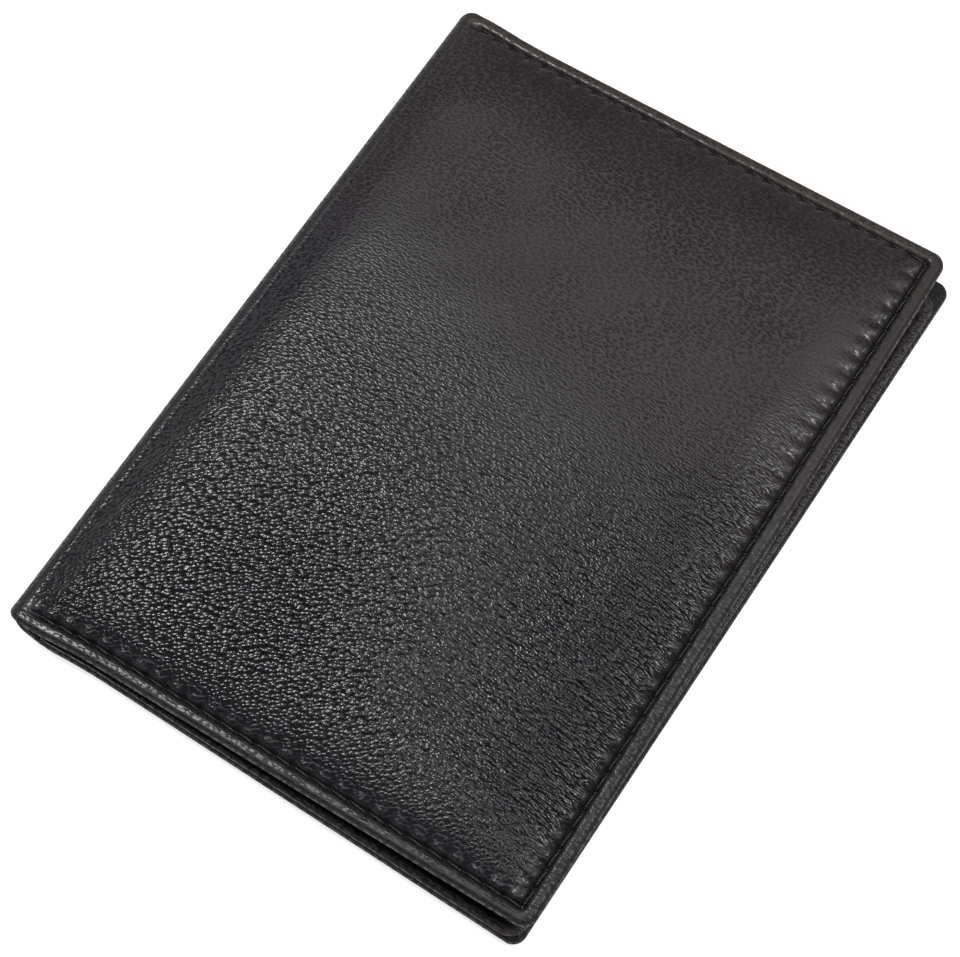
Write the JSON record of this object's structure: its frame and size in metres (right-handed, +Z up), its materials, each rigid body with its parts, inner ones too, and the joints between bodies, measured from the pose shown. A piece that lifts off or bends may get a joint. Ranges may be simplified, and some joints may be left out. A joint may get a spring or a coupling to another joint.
{
  "type": "badge case",
  "caption": "Book-style black leather badge case: padded front leaf with a badge recess, rear leaf with a clear card window, joined by a soft fold.",
  "frame": {"origin": "middle of the case's footprint, on the surface that it rests on", "axes": "+Y along the fold, towards the card pocket's mouth; +X from the fold to the free edge; +Z up out of the front leaf"},
  "size_m": [0.0832, 0.11, 0.0112],
  "materials": {
    "outer_leather": "black leather with a fine pebbled grain, semi-matt",
    "inner_leather": "brownish black leather, grained, matt",
    "foam": "thin padding",
    "board": "fibre board",
    "thread": "bonded sewing thread",
    "film": "clear vinyl"
  },
  "bodies": {
    "rear_leaf": {"rear_cover": "outer_leather", "rear_pad": "foam", "rear_board": "board", "pocket_lining": "inner_leather", "window_film": "film", "window_frame": "inner_leather", "rear_fold_lining": "inner_leather", "rear_edge_stitching": "thread", "window_stitching": "thread"},
    "spine": {"spine_cover": "outer_leather", "spine_lining": "inner_leather"},
    "front_leaf": {"front_cover": "outer_leather", "front_pad": "foam", "front_board": "board", "badge_spacer": "foam", "badge_backer": "inner_leather", "badge_panel": "inner_leather", "front_fold_lining": "inner_leather", "front_edge_stitching": "thread", "recess_stitching": "thread"}
  },
  "joints": [
    {"name": "rear_fold", "type": "hinge", "parent": "rear_leaf", "child": "spine", "pos_m": [-0.04097, 0, 0.00114], "axis": [0, -1, 0], "range_deg": [0, 88.5]},
    {"name": "front_fold", "type": "hinge", "parent": "spine", "child": "front_leaf", "pos_m": [-0.04108, 0, 0.00515], "axis": [0, -1, 0], "range_deg": [0, 88.5]}
  ],
  "couplings": [
    {"joint": "front_fold", "follows": "rear_fold", "ratio": 1}
  ]
}
